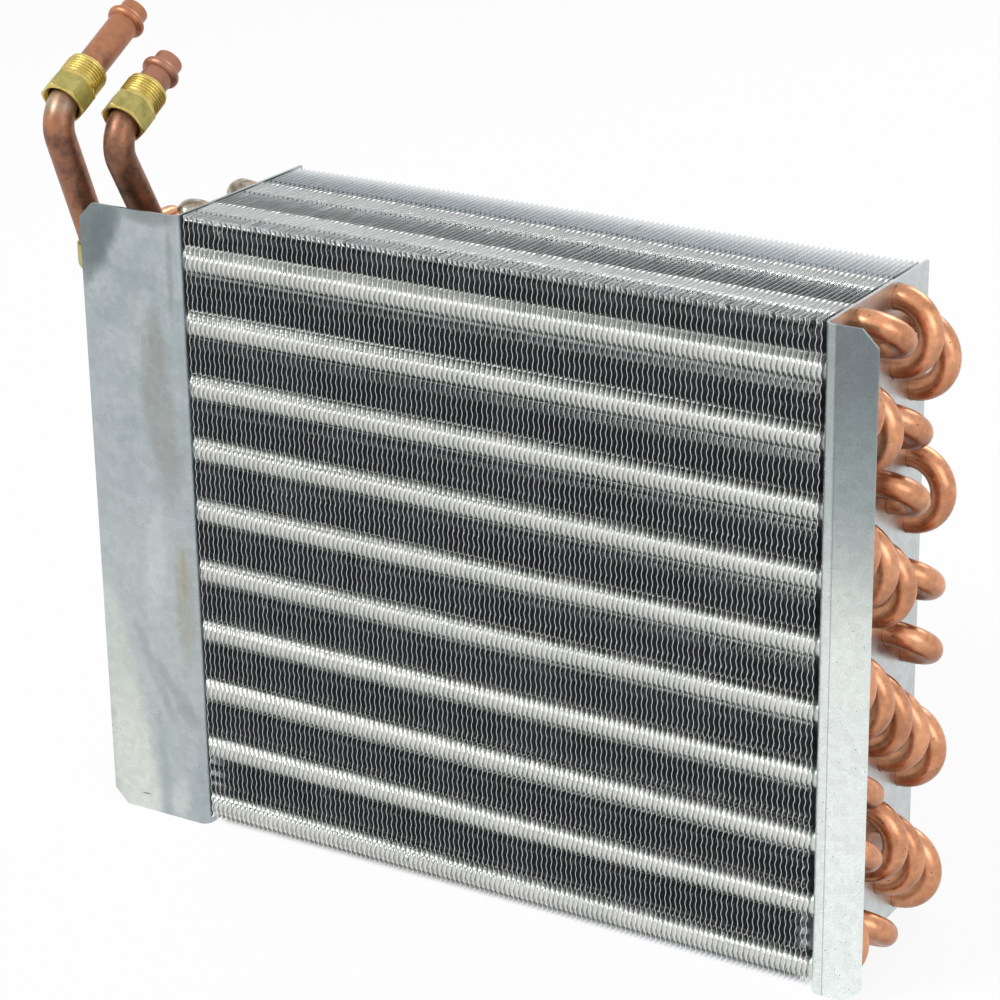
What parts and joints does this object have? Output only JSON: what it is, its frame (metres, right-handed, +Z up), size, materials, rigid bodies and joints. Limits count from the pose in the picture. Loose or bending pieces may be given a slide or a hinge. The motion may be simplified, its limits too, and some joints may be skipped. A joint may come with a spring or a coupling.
{
  "type": "evaporator core",
  "caption": "Fin and tube evaporator core: aluminium fins on copper hairpin tubes between two flanged end plates, with beaded line connections and captive brass nuts.",
  "frame": {"origin": "middle of the bottom of the whole part's box, at the height of the end plates' lower edges", "axes": "+X along the hairpin tubes, from the header side to the bend side; +Y from the front of the fins to the back; +Z up"},
  "size_m": [0.3536, 0.0873, 0.3213],
  "materials": {
    "fins": "bright rolled fin stock, dull where handled",
    "end_plates": "galvanised sheet with a fine spangle",
    "copper": "bare drawn copper tube, satin",
    "line_copper": "bare copper tube, darkened by brazing heat",
    "brass": "machined brass"
  },
  "bodies": {
    "core": {"fin_pack": "fins", "left_end_plate": "end_plates", "right_end_plate": "end_plates", "suction_header": "copper", "outlet_pipe": "line_copper", "inlet_pipe": "line_copper", "inlet_elbow": "brass", "distributor": "brass", "hairpin_01": "copper", "hairpin_02": "copper", "hairpin_03": "copper", "hairpin_04": "copper", "hairpin_05": "copper", "hairpin_06": "copper", "hairpin_07": "copper", "hairpin_08": "copper", "hairpin_09": "copper", "hairpin_10": "copper", "hairpin_11": "copper", "hairpin_12": "copper", "hairpin_13": "copper", "hairpin_14": "copper", "hairpin_15": "copper", "hairpin_16": "copper", "hairpin_17": "copper", "hairpin_18": "copper", "hairpin_19": "copper", "hairpin_20": "copper", "hairpin_21": "copper", "hairpin_22": "copper", "hairpin_23": "copper", "hairpin_24": "copper", "hairpin_25": "copper", "return_bend_01": "copper", "return_bend_02": "copper", "return_bend_03": "copper", "return_bend_04": "copper", "return_bend_05": "copper", "return_bend_06": "copper", "return_bend_07": "copper", "return_bend_08": "copper", "return_bend_09": "copper", "return_bend_10": "copper", "return_bend_11": "copper", "return_bend_12": "copper", "return_bend_13": "copper", "return_bend_14": "copper", "return_bend_15": "copper", "return_bend_16": "copper", "return_bend_17": "copper", "return_bend_18": "copper", "return_bend_19": "copper", "return_bend_20": "copper", "feeder_tube_1": "copper", "feeder_tube_2": "copper", "feeder_tube_3": "copper", "feeder_tube_4": "copper", "feeder_tube_5": "copper"},
    "outlet_nut_body": {"outlet_nut": "brass"},
    "inlet_nut_body": {"inlet_nut": "brass"}
  },
  "joints": [
    {"name": "outlet_nut_spin", "type": "hinge", "parent": "core", "child": "outlet_nut_body", "pos_m": [-0.14475, -0.01803, 0.28791], "axis": [0, 0.8721, 0.4894], "continuous": true},
    {"name": "inlet_nut_spin", "type": "hinge", "parent": "core", "child": "inlet_nut_body", "pos_m": [-0.16675, -0.02609, 0.2948], "axis": [0, 0.8746, 0.4848], "continuous": true}
  ]
}
